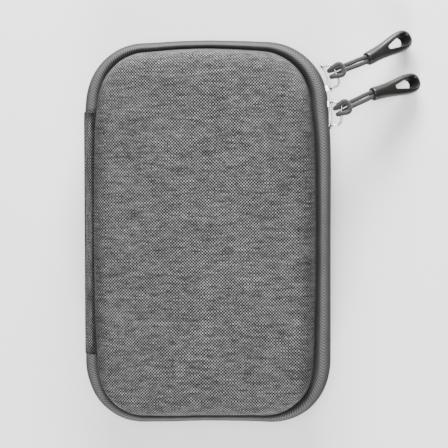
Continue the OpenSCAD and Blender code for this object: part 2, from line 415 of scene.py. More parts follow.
HEATHER = woven("heather_fabric", painted_hem_shade=0.3, painted_side_shade=0.62)
SPINE_HEATHER = woven("spine_fabric", strip=True)
TAPE = ribbed_tape("zipper_tape", 0.079, 1.55 * MM, 12 * MM, 0.9, 1.25, 0.42, 0.22)
LINING = knit("lining_fabric", 0.06)
BINDING = ribbed_tape("binding_tape", 0.07, 1.1 * MM, 20 * MM, 0.0, 0.55)
ELASTIC = elastic_weave("elastic", 0.045)
METAL = plated_metal("slider_metal")
RUBBER = moulded_rubber("pull_tab")
BRAID = braided("pull_cord", 0.024)
COIL = nylon("zipper_coil", 0.11)
NET = nylon("mesh", 0.045)
THREAD = nylon("thread", 0.16)
FOAM = foam("moulded_foam")


# ---- mesh making
def smooth_shaded(mesh):
    mesh.polygons.foreach_set("use_smooth", [True] * len(mesh.polygons))


def add_object(name, verts, faces, material, uv=None):
    mesh = bpy.data.meshes.new(name)
    mesh.from_pydata([tuple(v) for v in verts], [], [tuple(f) for f in faces])
    if uv is not None:
        uv_layer = mesh.uv_layers.new(name="Weave")
        loops = np.empty(len(mesh.loops), int)
        mesh.loops.foreach_get("vertex_index", loops)
        uv_layer.data.foreach_set("uv", np.asarray(uv, float)[loops].ravel())
    mesh.materials.append(material)
    mesh.update()
    bm = bmesh.new()
    bm.from_mesh(mesh)
    bmesh.ops.recalc_face_normals(bm, faces=bm.faces)
    bm.to_mesh(mesh)
    bm.free()
    smooth_shaded(mesh)
    return new_object(name, mesh)


def grid_faces(rows, cols, close_rows=False, close_cols=False, base=0):
    """Quads between neighbours of a grid whose points are numbered row by row."""
    faces = []
    for i in range(rows if close_rows else rows - 1):
        for j in range(cols if close_cols else cols - 1):
            a, b = (i % rows) * cols, ((i + 1) % rows) * cols
            c = (j + 1) % cols
            faces.append((base + a + j, base + a + c, base + b + c, base + b + j))
    return faces


def tube_faces(rows, cols, base=0):
    """Quads round a tube whose points are numbered ring by ring, and a face over each of its ends."""
    ends = (base, base + (rows - 1) * cols)
    return grid_faces(rows, cols, close_cols=True, base=base) + [tuple(range(e, e + cols)) for e in ends]


def apply_modifiers(obj):
    deps = bpy.context.evaluated_depsgraph_get()
    mesh = bpy.data.meshes.new_from_object(obj.evaluated_get(deps))
    obj.modifiers.clear()
    obj.data = mesh
    smooth_shaded(mesh)


def distances(points):
    """How far along a line each of its points is."""
    return np.concatenate([[0], np.cumsum(np.linalg.norm(np.diff(points, axis=0), axis=1))])


def units(vectors):
    return vectors / np.linalg.norm(vectors, axis=1)[:, None]


def circle(count):
    """The cosine and sine of each of count steps round a circle."""
    return [(math.cos(2 * math.pi * k / count), math.sin(2 * math.pi * k / count)) for k in range(count)]


def squared(value, power):
    """A sine or cosine flattened towards a square wave, for rounded rectangles."""
    return math.copysign(abs(value) ** power, value)


# ---- the outline of the case
class Track:
    """Points round the case, anticlockwise: each has a centre, an outward normal and a distance."""

    def __init__(self, centres, normals):
        self.centre = np.array(centres, float)
        self.normal = np.array(normals, float)
        self.along = distances(self.centre + CORNER_R * self.normal)
        self.offset = np.zeros(len(self.centre))

    def __len__(self):
        return len(self.centre)

    def at(self, r):
        """The track's points at r from its centres, with the sewn outline's offset."""
        return self.centre + (r + self.offset)[:, None] * self.normal


TRACK_STEP = 3.0 * MM
CORNER_STEPS = 30


def track(start_y=None, end_y=None):
    """Round the case from the middle of its left side, or from start_y there back down to end_y."""
    centres, normals = [], []

    def straight(a, b, n):
        count = max(1, round((Vector(b) - Vector(a)).length / TRACK_STEP))
        for k in range(count):
            t = k / count
            centres.append((a[0] + (b[0] - a[0]) * t, a[1] + (b[1] - a[1]) * t))
            normals.append(n)

    def corner(c, start):
        for k in range(CORNER_STEPS):
            a = math.radians(start + 90 * k / CORNER_STEPS)
            centres.append(c)
            normals.append((math.cos(a), math.sin(a)))

    x, y = CORNER_X, CORNER_Y
    first = 0.0 if start_y is None else start_y
    last = 0.0 if end_y is None else end_y
    straight((-x, first), (-x, -y), (-1, 0))
    corner((-x, -y), 180)
    straight((-x, -y), (x, -y), (0, -1))
    corner((x, -y), 270)
    straight((x, -y), (x, y), (1, 0))
    corner((x, y), 0)
    straight((x, y), (-x, y), (0, 1))
    corner((-x, y), 90)
    straight((-x, y), (-x, last), (-1, 0))
    if end_y is not None:
        centres.append((-x, last))
        normals.append((-1, 0))
    return Track(centres, normals)


ALL_ROUND = track()
ZIP_UNDER = 0.7 * MM
ZIP_RUN = track(SPINE_LOW.y + ZIP_UNDER, SPINE_HIGH.y - ZIP_UNDER)

# How far the sewn outline lies outside the drawn one, in millimetres, at distances round the case from
# the middle of the left side, anticlockwise: its lower corners are full and its upper ones drawn in.
OUTLINE = np.array([
    (0, 0), (45, 0), (68, -0.3), (80, 0.1), (93, 1.3), (108, 1.7), (120, 1.3), (133, 0.9), (149, 0.1),
    (165, -0.1), (181, -0.1), (195, 0.9), (206, 1.6), (220, 1.7), (231, 1.5), (255, 1.4), (300, 1.15),
    (335, 1.2), (346, 1.0), (354, 0.6), (361, 0.0), (368, -0.6), (380, -1.1), (392.5, -1.3), (405, -1.4),
    (417, -1.2), (430, -0.6), (449, -0.1), (465, -0.4), (480, -1.3), (492, -1.5), (505, -1.6), (518, -1.6),
    (530, -1.3), (537, -0.7), (548, 0),
])


def outline_offset(along):
    """The offset at distances round the case, eased between the stated places."""
    total = (4 * CORNER_X + 4 * CORNER_Y + 2 * math.pi * CORNER_R) / MM
    places = np.concatenate([OUTLINE[:, 0], [total]])
    values = np.concatenate([OUTLINE[:, 1], [0]])
    spread = np.linspace(-5, 5, 11)
    at = (along / MM)[:, None] + spread[None, :]
    weight = np.exp(-(spread / 3.5) ** 2)
    return (np.interp(at % total, places, values) * weight).sum(1) / weight.sum() * MM


ALL_ROUND.offset = outline_offset(ALL_ROUND.along)
ZIP_RUN.offset = outline_offset(ZIP_RUN.along - (SPINE_LOW.y + ZIP_UNDER))

# The moulded halves stand in further at the sides than at the ends.
SIDE_IN = 1.0 * MM
SIDE_BOW = 1.5 * MM
END_OUT = 1.1 * MM
END_BOW = 0.9 * MM


def fitted(points, weight):
    """Moves the moulded halves' points to where they stand inside the tape. weight is 0 on the zip."""
    x, y = points[..., 0], points[..., 1]
    w = np.broadcast_to(weight, x.shape)
    side = np.clip(np.abs(x) / (CORNER_X + 17 * MM), 0, 1) ** 2 * np.sign(x)
    end = np.clip(np.abs(y) / (CORNER_Y + 17 * MM), 0, 1) ** 2 * np.sign(y)
    far_y = np.clip(np.abs(y) / (75 * MM), 0, 1) ** 2
    far_x = np.clip(np.abs(x) / (40 * MM), 0, 1) ** 2
    moved = np.array(points, float)
    moved[..., 0] = x - side * w * (SIDE_IN + SIDE_BOW * far_y)
    moved[..., 1] = y + end * w * (END_OUT - END_BOW * far_x)
    return moved


# Heights from the zip's middle between which the outline begins to bow.
BOW_FROM_U = 3.4 * MM
BOW_OVER_U = 1.6 * MM


def kept_straight(offset, u):
    """The offset, without what would carry the zip's mouth out of the sliders' straight way."""
    above = np.clip((u - BOW_FROM_U) / BOW_OVER_U, 0, 1)
    return np.minimum(offset, 0) + np.maximum(offset, 0) * above


def sweep(name, path, section, material, side, weights=1.0):
    """Carries a closed section of (r, u) points along a track, with flat ends if the track is open."""
    rows, cols = len(path), len(section)
    across = distances(section)
    out = section[None, :, :1] + kept_straight(path.offset[:, None], section[None, :, 1])[..., None]
    flat = fitted(path.centre[:, None, :] + out * path.normal[:, None, :], weights)
    u = np.broadcast_to(section[:, 1], (rows, cols))
    verts = np.concatenate([flat, (MID_Z + side * u)[..., None]], axis=-1).reshape(-1, 3)
    uv = np.stack(np.broadcast_arrays(path.along[:, None], across[None, :]), -1).reshape(-1, 2)
    if path is ALL_ROUND:
        faces = grid_faces(rows, cols, close_rows=True, close_cols=True)
    else:
        faces = tube_faces(rows, cols)
    return add_object(name, verts, faces, material, uv)


# ---- moulded halves
ROUND = 8.8 * MM
DRAFT = 0.6 * MM
FACE_R = SHELL_R - DRAFT - ROUND
ARC_U = HALF_T - ROUND
CROWN = 0.7 * MM
FACE_RINGS = 26
COVER_T = 0.65 * MM
FOAM_T = 2.8 * MM
LINING_T = 0.45 * MM
WOBBLE = 0.12 * MM
WOBBLE_PER_M = 28


def wall_profile(inset, tuck):
    """(r, u) up the wall and over the rounded edge, to where the face begins."""
    r = SHELL_R - inset
    points = []
    if tuck:
        points += [(r - 1.5 * MM, EDGE_U - 0.1 * MM), (r - 0.75 * MM, EDGE_U - 0.25 * MM)]
        points += [(r - 0.25 * MM, EDGE_U + 0.0 * MM), (r, EDGE_U + 0.5 * MM), (r, EDGE_U + 1.2 * MM)]
    else:
        points += [(r, EDGE_U + 0.2 * MM), (r, EDGE_U + 1.2 * MM)]
    base = EDGE_U + 1.2 * MM
    for k in range(1, 5):
        t = k / 5
        points.append((r - DRAFT * t * t, base + (ARC_U - base) * t))
    radius = ROUND - inset
    for k in range(13):
        a = math.radians(90 * k / 12)
        points.append((FACE_R + radius * math.cos(a), ARC_U + radius * math.sin(a)))
    return np.array(points)


def half_surface(inset, tuck, crown):
    """Rings of points from the shell's edge to the middle of its face, with weave coordinates."""
    profile = wall_profile(inset, tuck)
    up = distances(profile)
    path = ALL_ROUND
    rows, maps = [], []
    for (r, u), reach in zip(profile, up[-1] - up):
        rows.append(np.column_stack([path.at(r), np.full(len(path), u)]))
        maps.append(path.at(FACE_R + reach))
    edge = path.at(FACE_R)
    top = profile[-1, 1]
    for k in range(1, FACE_RINGS):
        t = 1 - k / FACE_RINGS
        flat = edge * t
        rise = crown * (1 - t ** 2)
        rows.append(np.column_stack([flat, np.full(len(path), top + rise)]))
        maps.append(flat)
    return rows, maps, top + crown


def uneven(points, seed):
    """A faint unevenness, as moulded foam under cloth has."""
    for p in points:
        p[2] += WOBBLE * noise.noise(Vector((p[0], p[1], seed)) * WOBBLE_PER_M)


def layer(name, inset, thickness, material, side, tuck=False, raised=False):
    """One closed layer of a moulded half, from inset to inset + thickness inside the cover's face."""
    n = len(ALL_ROUND)
    crown = CROWN if raised else 0.0
    outer, outer_map, top = half_surface(inset, tuck, crown)
    inner, inner_map, inner_top = half_surface(inset + thickness, tuck, crown)
    verts = np.vstack(outer + [[[0, 0, top]]] + inner[::-1] + [[[0, 0, inner_top]]])
    maps = np.vstack(outer_map + [[[0, 0]]] + inner_map[::-1] + [[[0, 0]]])
    rows = len(outer)
    crown_point = rows * n
    base = crown_point + 1
    inner_point = base + rows * n
    last, inner_last = (rows - 1) * n, base + (rows - 1) * n
    after = [(k + 1) % n for k in range(n)]
    faces = grid_faces(rows, n, close_cols=True)
    faces += [(last + k, last + after[k], crown_point) for k in range(n)]
    faces += grid_faces(rows, n, close_cols=True, base=base)
    faces += [(base + k, base + after[k], inner_point) for k in range(n)]
    faces += [(k, after[k], inner_last + after[k], inner_last + k) for k in range(n)]
    verts[:, :2] = fitted(verts[:, :2], 1.0)
    if raised:
        uneven(verts, 3.0 + side)
    verts[:, 2] = MID_Z + side * verts[:, 2]
    return add_object(name, verts, faces, material, maps)


PRESSURE = {1: 4, -1: 1}
CLOTH_STIFFNESS = 30
CLOTH_FRAMES = 20
CLOTH_CAP = 0.5 * MM


def settled(obj, side):
    """Blows the cover's face up a little as cloth, its walls held, so that it lies as padding does."""
    n = len(ALL_ROUND)
    count = len(obj.data.vertices) // 2
    co = np.empty(2 * count * 3)
    obj.data.vertices.foreach_get("co", co)
    co = co.reshape(-1, 3)
    rings = (count - 1) // n
    faces = grid_faces(rings, n, close_cols=True)
    faces += [((rings - 1) * n + k, (rings - 1) * n + (k + 1) % n, count - 1) for k in range(n)]
    mesh = bpy.data.meshes.new("settling")
    mesh.from_pydata([tuple(p) for p in co[:count]], [], faces)
    sheet = new_object("settling", mesh)
    held = sheet.vertex_groups.new(name="held")
    wall = np.abs(co[:count, 2] - MID_Z) < HALF_T - 3 * MM
    held.add([int(i) for i in np.nonzero(wall)[0]], 1.0, "REPLACE")
    cloth = sheet.modifiers.new("cloth", "CLOTH")
    settings = cloth.settings
    settings.mass = 0.3
    settings.quality = 4
    settings.tension_stiffness = settings.compression_stiffness = CLOTH_STIFFNESS
    settings.bending_stiffness = 2
    settings.use_pressure = True
    settings.uniform_pressure_force = PRESSURE[side]
    settings.vertex_group_mass = "held"
    settings.effector_weights.gravity = 0
    cloth.point_cache.frame_start = 1
    cloth.point_cache.frame_end = CLOTH_FRAMES
    scene = bpy.context.scene
    for frame_number in range(1, CLOTH_FRAMES + 1):
        scene.frame_set(frame_number)
    done = sheet.evaluated_get(bpy.context.evaluated_depsgraph_get()).to_mesh()
    moved = np.empty(count * 3)
    done.vertices.foreach_get("co", moved)
    shift = moved.reshape(-1, 3) - co[:count]
    far = np.linalg.norm(shift, axis=1)[:, None]
    shift *= CLOTH_CAP * np.tanh(far / CLOTH_CAP) / np.maximum(far, 1e-9)
    scene.frame_set(1)
    bpy.data.objects.remove(sheet)
    bpy.data.meshes.remove(mesh)
    co[:count] += shift
    co[count:] += shift
    obj.data.vertices.foreach_set("co", co.ravel())
    obj.data.update()


def moulded_half(half, side):
    """Cover, foam and lining of one half."""
    cover = layer(half + "_cover_fabric", 0, COVER_T, HEATHER, side, tuck=True, raised=side > 0)
    shell = layer(half + "_foam", 0.8 * MM, FOAM_T, FOAM, side)
    inside = layer(half + "_lining_fabric", 3.7 * MM, LINING_T, LINING, side)
    settled(cover, side)
    for obj, node, slot in ((cover, "cover", "heather_fabric"), (shell, "foam_shell", "moulded_foam"),
                            (inside, "lining", "lining_fabric")):
        place(obj, half + "_half", slot, half + "_" + node)


moulded_half("front", 1)
moulded_half("rear", -1)


# ---- zip
TAPE_T = 0.8 * MM
# (r, u) over the tape's outside, from where it is sewn to the cover to its mouth.
TAPE_LINE = np.array([
    (23.6, 7.6), (24.8, 7.5), (25.8, 7.5), (26.5, 7.8), (27.05, 8.5), (27.5, 9.4), (27.95, 10.3),
    (28.5, 10.85), (29.15, 10.85), (29.85, 10.35), (30.55, 9.35), (31.15, 8.2), (31.6, 7.0), (31.88, 5.7),
    (32.0, 4.4), (31.95, 3.2), (31.75, 2.3), (31.5, 1.75),
]) * MM


def offset_line(line, distance):
    """The line moved to its right-hand side."""
    step = units(np.gradient(line, axis=0))
    return line + distance * np.column_stack([step[:, 1], -step[:, 0]])


def zipper_tape(half, side):
    section = np.vstack([TAPE_LINE, offset_line(TAPE_LINE, TAPE_T)[::-1]])
    weight = np.clip((CORNER_R - 0.6 * MM - section[:, 0]) / (5 * MM), 0, 1)
    obj = sweep(half + "_tape", ZIP_RUN, section, TAPE, side, weight)
    place(obj, half + "_half", "zipper_tape", half + "_zipper_tape")


def tube(name, centre, radius, material, sides, relief=None):
    """A round tube along centre. radius is the half sizes across and upwards; relief swells it."""
    centre = np.array(centre, float)
    a, b = radius
    tangent = units(np.gradient(centre, axis=0))
    across = np.cross(tangent, np.array((0.0, 0.0, 1.0)))
    side = units(across[np.linalg.norm(across, axis=1) >= 0.2][:1])[0]
    length = distances(centre)
    rows, uv = [], []
    for i in range(len(centre)):
        side = side - tangent[i] * np.dot(side, tangent[i])
        side /= np.linalg.norm(side)
        lift = np.cross(side, tangent[i])
        for k, (c, d) in enumerate(circle(sides)):
            swell = 1.0 if relief is None else relief(length[i], 2 * math.pi * k / sides)
            rows.append(centre[i] + swell * (a * c * side + b * d * lift))
            uv.append((length[i], k / sides))
    return add_object(name, rows, tube_faces(len(centre), sides), material, uv)


COIL_R = 31.1 * MM
COIL_PITCH = 1.6 * MM
COIL_WIRE = 0.34 * MM
COIL_POINTS = 10
SLIDER_1_TURN = 22.2
SLIDER_2_Y = sum(c.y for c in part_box("slider_2_body")) / 2


def run_position(path, s):
    """Points on the track's own line at distances s: centres, moved by the outline's offset, and normals."""
    cx = np.interp(s, path.along, path.centre[:, 0])
    cy = np.interp(s, path.along, path.centre[:, 1])
    nx = np.interp(s, path.along, path.normal[:, 0])
    ny = np.interp(s, path.along, path.normal[:, 1])
    length = np.hypot(nx, ny)
    nx, ny = nx / length, ny / length
    offset = np.interp(s, path.along, path.offset)
    return np.column_stack([cx + offset * nx, cy + offset * ny]), np.column_stack([nx, ny])


def parted(path, s):
    """0 where the zip is closed, 1 between the two sliders' noses, where its rows part."""
    not_right_side = np.abs(path.normal[:, 0] - 1) > 1e-6
    away = np.abs(path.centre[:, 1] - SLIDER_2_Y) + np.abs(path.centre[:, 0] - CORNER_X)
    s_low = path.along[np.argmin(away + 1e3 * not_right_side)]
    s_high = s_low + (CORNER_Y - SLIDER_2_Y) + CORNER_R * math.radians(SLIDER_1_TURN)
    middle, reach = (s_low + s_high) / 2, (s_high - s_low) / 2
    t = np.clip((reach - np.abs(s - middle)) / (5 * MM), 0, 1)
    return t * t * (3 - 2 * t)


def zipper_coil(half, side):
    """The row of one half: a nylon coil whose turns mesh with the other half's."""
    path = ZIP_RUN
    turns = (path.along[-1] - 3 * MM) / COIL_PITCH
    phase = np.arange(0, turns * 2 * math.pi, 2 * math.pi / COIL_POINTS)
    shift = 0.0 if side > 0 else COIL_PITCH / 2
    s = 1.2 * MM + shift + COIL_PITCH * phase / (2 * math.pi)
    centre, normal = run_position(path, s)
    r = COIL_R + 0.42 * MM * np.cos(phase)
    u = 0.62 * MM + 0.78 * MM * np.sin(phase) + 1.0 * MM * parted(path, s)
    bowed = np.maximum(np.interp(s, path.along, path.offset), 0)
    flat = centre + (r - bowed)[:, None] * normal
    points = np.column_stack([flat, MID_Z + side * u])
    obj = tube(half + "_coil", points, (COIL_WIRE, COIL_WIRE), COIL, 6)
    place(obj, half + "_half", "zipper_coil", half + "_zipper_coil")


for half, side in (("front", 1), ("rear", -1)):
    zipper_tape(half, side)
    zipper_coil(half, side)


# ---- binding inside
BINDING_R = SHELL_R - 4.2 * MM
# (r, u) round the folded tape, in millimetres, r counted from BINDING_R.
BINDING_SECTION = np.array([
    (-0.75, 6.5), (-0.2, 6.2), (0.8, 6.1), (2.2, 6.15), (2.5, 6.4), (2.0, 6.65), (0.7, 6.7), (-0.05, 7.3),
    (-0.08, 9.5), (-0.08, 11.5), (-0.08, 13.6), (-0.3, 14.0), (-0.7, 13.6), (-0.85, 12.5), (-0.9, 11.3),
    (-0.85, 10.0),
]) * MM + (BINDING_R, 0)
STITCH_PITCH = 3.0 * MM
STITCH_L = 2.2 * MM
STITCH_U = 12.6 * MM
THREAD_R = 0.17 * MM


def binding(half, side):
    """Folded tape sewn over the inner edge of shell and zipper tape, with its line of stitches."""
    obj = sweep(half + "_binding_tape", ALL_ROUND, BINDING_SECTION, BINDING, side)
    place(obj, half + "_half", "binding_tape", half + "_binding")
    stitches(half, side)


def stitches(half, side):
    """The binding's seam: short threads, each sunk at both ends."""
    verts, faces, uv = [], [], []
    sides, rings = 6, 5
    lift = THREAD_R * np.sin(np.linspace(0, math.pi, rings)) - 0.6 * THREAD_R
    size = THREAD_R * np.array([0.5, 0.95, 1, 0.95, 0.5])
    for start in np.arange(0.5 * STITCH_PITCH, ALL_ROUND.along[-1] - STITCH_PITCH, STITCH_PITCH):
        steps = start + STITCH_L * np.linspace(0, 1, rings)
        centre, normal = run_position(ALL_ROUND, steps)
        faces += tube_faces(rings, sides, base=len(verts))
        for i in range(rings):
            flat = fitted(centre[i] + (BINDING_R - 0.95 * MM - lift[i]) * normal[i], 1.0)
            for k, (c, d) in enumerate(circle(sides)):
                x, y = flat - size[i] * c * normal[i]
                verts.append((x, y, MID_Z + side * (STITCH_U + size[i] * d)))
                uv.append((steps[i], k / sides))
    obj = add_object(half + "_binding_stitches", verts, faces, THREAD, uv)
    place(obj, half + "_half", "binding_tape")


binding("front", 1)
binding("rear", -1)


# ---- spine
SPINE_X = SPINE_LOW.x + SPINE_ROUND
SPINE_T = 1.1 * MM
SPINE_COLS = 61
FOLD_DEPTH = 0.75 * MM
FOLD_HALF_DEG = 2.2
END_DIP = 0.35 * MM
# The panel's long edges run on under the covers' hems, in millimetres: x inwards from the edge, z from it,
# and the thickness there.
FLANGE = ((0.5, -0.25, 1.0), (1.1, -0.55, 0.9), (1.9, -0.75, 0.7), (2.9, -0.8, 0.6), (3.6, -0.8, 0.5))


def add_flanges(y, outer, inner, uv):
    """Carries the last row of the panel on under the hems at both its ends, from the rear to the front."""
    x, z = outer[-1][0], outer[-1][2] - MID_Z
    points = [(x + a * MM, z + b * MM, t * MM) for a, b, t in FLANGE]
    front = [(px, y, MID_Z + pz) for px, pz, t in points]
    front_in = [(px + 0.2 * t, y, MID_Z + pz - t) for px, pz, t in points]
    reach = [FLANGE_V + 1.1 * a * MM for a, _, _ in FLANGE]
    for rows, ends in ((outer, front), (inner, front_in)):
        rows[-SPINE_COLS:] = [(px, y, 2 * MID_Z - pz) for px, _, pz in ends[::-1]] + rows[-SPINE_COLS:] + ends
    uv[-SPINE_COLS:] = [(y, -v) for v in reach[::-1]] + uv[-SPINE_COLS:] + [(y, v) for v in reach]


def spine_sheet(name, y_low, y_high, radius, thickness, material, reach, folded):
    """A bowed strip from one half to the other. A folded one has two pressed fold lines and flanges."""
    limit = math.asin(min(1.0, reach / radius))
    rows = np.concatenate([
        y_low + np.array([0, 0.25, 0.6, 1.1]) * MM,
        np.linspace(y_low + 2.5 * MM, y_high - 2.5 * MM, 46),
        y_high - np.array([1.1, 0.6, 0.25, 0]) * MM,
    ])
    outer, inner, uv = [], [], []
    for y in rows:
        end = min(y - y_low, y_high - y)
        for a in np.linspace(-limit, limit, SPINE_COLS):
            dip = 0.0
            if folded:
                for fold in (-FOLD_ANGLE, FOLD_ANGLE):
                    dip += FOLD_DEPTH * math.exp(-((math.degrees(a) - fold) / FOLD_HALF_DEG) ** 2)
                dip += END_DIP * math.exp(-end / (0.5 * MM))
            for row, r in ((outer, radius - dip), (inner, radius - thickness - 0.2 * dip)):
                row.append((SPINE_X - r * math.cos(a), y, MID_Z + r * math.sin(a)))
            uv.append((y, radius * a))
        if folded:
            add_flanges(y, outer, inner, uv)
    n = len(rows)
    m = len(outer) // n
    faces = grid_faces(n, m) + grid_faces(n, m, base=n * m)
    rim = list(range(m)) + [i * m + m - 1 for i in range(1, n)]
    rim += [(n - 1) * m + j for j in range(m - 2, -1, -1)] + [i * m for i in range(n - 2, 0, -1)]
    for a, b in zip(rim, rim[1:] + rim[:1]):
        faces.append((a, b, n * m + b, n * m + a))
    return add_object(name, outer + inner, faces, material, uv + uv)


def spine():
    panel = spine_sheet("spine_cloth", SPINE_LOW.y, SPINE_HIGH.y, SPINE_ROUND, SPINE_T, SPINE_HEATHER,
                        SPINE_U, True)
    inside = spine_sheet("spine_lining_fabric", SPINE_LOW.y + 1.7 * MM, SPINE_HIGH.y - 1.7 * MM,
                         SPINE_ROUND - SPINE_T - 0.15 * MM, LINING_T, LINING, SPINE_U - 2 * MM, False)
    for obj, node, slot in ((panel, "spine_panel", "heather_fabric"),
                            (inside, "spine_lining", "lining_fabric")):
        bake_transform(obj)
        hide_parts(node)


spine()


# ---- pocket and bands inside
POCKET_LOW, POCKET_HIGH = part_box("mesh_pocket")
POCKET_EDGE_LOW, POCKET_EDGE_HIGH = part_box("mesh_pocket_elastic")
HEM_COLS = 20
NET_CELL = 1.75 * MM
NET_STRAND = 0.49 * MM
NET_BULGE = 1.5 * MM
NET_HALF_W = 52 * MM
NET_HALF_H = 76 * MM
NET_MIDDLE_Y = -15 * MM


def mesh_pocket():
    """Hexagonal net, stretched over the front half and bulging a little in its middle."""
    r = POCKET_HIGH.x - CORNER_X
    bm = bmesh.new()
    dx, dy = math.sqrt(3) * NET_CELL, 1.5 * NET_CELL
    hexagon = [(NET_CELL * d, NET_CELL * c) for c, d in circle(6)]
    rows = int((POCKET_HIGH.y - POCKET_LOW.y) / dy) + 2
    cols = int((POCKET_HIGH.x - POCKET_LOW.x) / dx) + 2
    made = {}

    def corner(x, y):
        key = (round(x / (0.1 * MM)), round(y / (0.1 * MM)))
        if key not in made:
            made[key] = bm.verts.new((x, y, 0))
        return made[key]

    def within(x, y):
        if y > POCKET_HIGH.y + 2 * MM:
            return False
        ex, ey = max(abs(x) - CORNER_X, 0), max(abs(y) - CORNER_Y, 0)
        return math.hypot(ex, ey) < r

    for j in range(rows):
        for i in range(cols):
            x = POCKET_LOW.x + (i + 0.5 * (j % 2)) * dx
            y = POCKET_LOW.y + j * dy
            ring = [(x + a, y + b) for a, b in hexagon]
            if all(within(*p) for p in ring):
                bm.faces.new([corner(*p) for p in ring])
    top = POCKET_HIGH.z - 0.3 * MM
    for v in bm.verts:
        x, y = v.co.x, v.co.y
        flat = fitted(np.array([x, y]), 1.0)
        t = max(0.0, 1 - (x / NET_HALF_W) ** 2) * max(0.0, 1 - ((y - NET_MIDDLE_Y) / NET_HALF_H) ** 2)
        v.co = (flat[0], flat[1], top + NET_BULGE * t + 0.15 * MM * noise.noise(Vector((x, y, 0)) * 60))
    mesh = bpy.data.meshes.new("mesh_pocket_net")
    bm.to_mesh(mesh)
    bm.free()
    mesh.materials.append(NET)
    obj = new_object("mesh_pocket_net", mesh)
    wire = obj.modifiers.new("wire", "WIREFRAME")
    wire.thickness = NET_STRAND
    wire.use_even_offset = False
    apply_modifiers(obj)
    place(obj, "front_half", "mesh", "mesh_pocket")
    flat = (POCKET_HIGH.x - POCKET_LOW.x, POCKET_HIGH.y - POCKET_LOW.y)


def pocket_elastic():
    """Elastic folded over the net's open edge, drawn in a little between its ends."""
    y0, y1 = POCKET_EDGE_LOW.y, POCKET_EDGE_HIGH.y
    z0, z1 = POCKET_EDGE_LOW.z, POCKET_EDGE_HIGH.z
    middle, half_w, half_t = (y0 + y1) / 2, (y1 - y0) / 2, (z1 - z0) / 2
    xs = np.linspace(POCKET_EDGE_LOW.x + 0.4 * MM, POCKET_EDGE_HIGH.x - 0.4 * MM, 90)
    verts, uv = [], []
    for x in xs:
        pull = 1.2 * MM * (1 - (x / POCKET_EDGE_HIGH.x) ** 2)
        ripple = 0.12 * MM * math.sin(x / (2.1 * MM))
        for c, d in circle(HEM_COLS):
            cy, cz = squared(c, 0.35), squared(d, 0.7)
            verts.append((x, middle - pull + half_w * cy, (z0 + z1) / 2 + half_t * cz + ripple))
            uv.append((x, half_w * cy))
    obj = add_object("mesh_pocket_hem", verts, tube_faces(len(xs), HEM_COLS), ELASTIC, uv)
    place(obj, "front_half", "elastic", "mesh_pocket_elastic")


LOOP_PITCH = 32 * MM
LOOP_W = 28 * MM
STRAP_T = 1.2 * MM


def elastic_line(low, high):
    """The middle line of a band: three arches, sewn down between them."""
    rise, t = high.z - low.z, STRAP_T
    radius = (LOOP_W ** 2 / 4 + rise ** 2) / (2 * rise) - t / 2
    points = []
    for x in np.linspace(low.x, high.x, 181):
        d = x - min((-LOOP_PITCH, 0.0, LOOP_PITCH), key=lambda c: abs(x - c))
        top = low.z + rise - t / 2 - radius
        z = top + math.sqrt(max(radius ** 2 - d * d, 0)) if abs(d) < radius else low.z
        points.append((x, max(z, low.z + t / 2)))
    points = np.array(points)
    for _ in range(3):
        points[1:-1, 1] = 0.25 * points[:-2, 1] + 0.5 * points[1:-1, 1] + 0.25 * points[2:, 1]
    return points


def elastic_band(node):
    low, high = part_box(node)
    line = elastic_line(low, high)
    middle, half_w = (low.y + high.y) / 2, (high.y - low.y) / 2
    step = units(np.gradient(line, axis=0))
    normal = np.column_stack([-step[:, 1], step[:, 0]])
    length = distances(line)
    across = np.concatenate([np.linspace(-1, 1, 21), np.linspace(1, -1, 21)])
    verts, uv = [], []
    for i in range(len(line)):
        for k, c in enumerate(across):
            face = 1 if k < 21 else -1
            edge = 0.5 * MM * (1 - 0.55 * max(0.0, (abs(c) - 0.93) / 0.07) ** 2)
            x, z = line[i] + face * edge * normal[i]
            verts.append((x, middle + half_w * c, z))
            uv.append((length[i], half_w * c))
    obj = add_object(node + "_strap", verts, tube_faces(len(line), len(across)), ELASTIC, uv)
    place(obj, "rear_half", "elastic", node)
    tacks(node, low, high)


def tacks(node, low, high):
    """Rows of close zigzag stitches that hold a band down beside its loops."""
    verts, faces, uv = [], [], []
    count, sides = 46, 6
    ys = np.linspace(low.y + 1.2 * MM, high.y - 1.2 * MM, count)
    zigzag = np.where(np.arange(count) % 2, 0.8 * MM, -0.8 * MM)
    for row in (-1.5, -0.5, 0.5, 1.5):
        path = np.column_stack([row * LOOP_PITCH + zigzag, ys, np.full(count, low.z + STRAP_T + 0.05 * MM)])
        faces += tube_faces(count, sides, base=len(verts))
        for p, tangent in zip(path, units(np.gradient(path, axis=0))):
            side = np.array([-tangent[1], tangent[0], 0])
            for k, (c, d) in enumerate(circle(sides)):
                verts.append(p + THREAD_R * (c * side + d * np.array([0, 0, 1])))
                uv.append((p[1], k / sides))
    obj = add_object(node + "_tacks", verts, faces, THREAD, uv)
    place(obj, "rear_half", "elastic")


mesh_pocket()
pocket_elastic()
for band in ("elastic_band_lower", "elastic_band_middle", "elastic_band_upper"):
    elastic_band(band)


# ---- sliders
PLATE_X = 32.35 * MM
PLATE_T = 1.05 * MM
PLATE_TAIL = 3.1 * MM
PLATE_NOSE = 3.5 * MM
PLATE_ROUND = 0.42
INNER_X = 27.5 * MM
BAIL_OUT = 5.2 * MM
BAIL_HALF = 5.95 * MM
BAIL_BEND = 2.9 * MM
BAIL_SHIFT = 0.3 * MM
BAIL_WIRE = (0.6 * MM, 0.8 * MM)


def slider_frame(number):
    """Local axes of a slider: x out of the case, y towards its nose, z up."""
    if number == 2:
        return Matrix.Translation((CORNER_X, SLIDER_2_Y, MID_Z))
    turn = Matrix.Rotation(math.radians(SLIDER_1_TURN), 4, "Z")
    return Matrix.Translation((CORNER_X, CORNER_Y, MID_Z)) @ turn @ Matrix.Scale(-1, 4, (0, 1, 0))


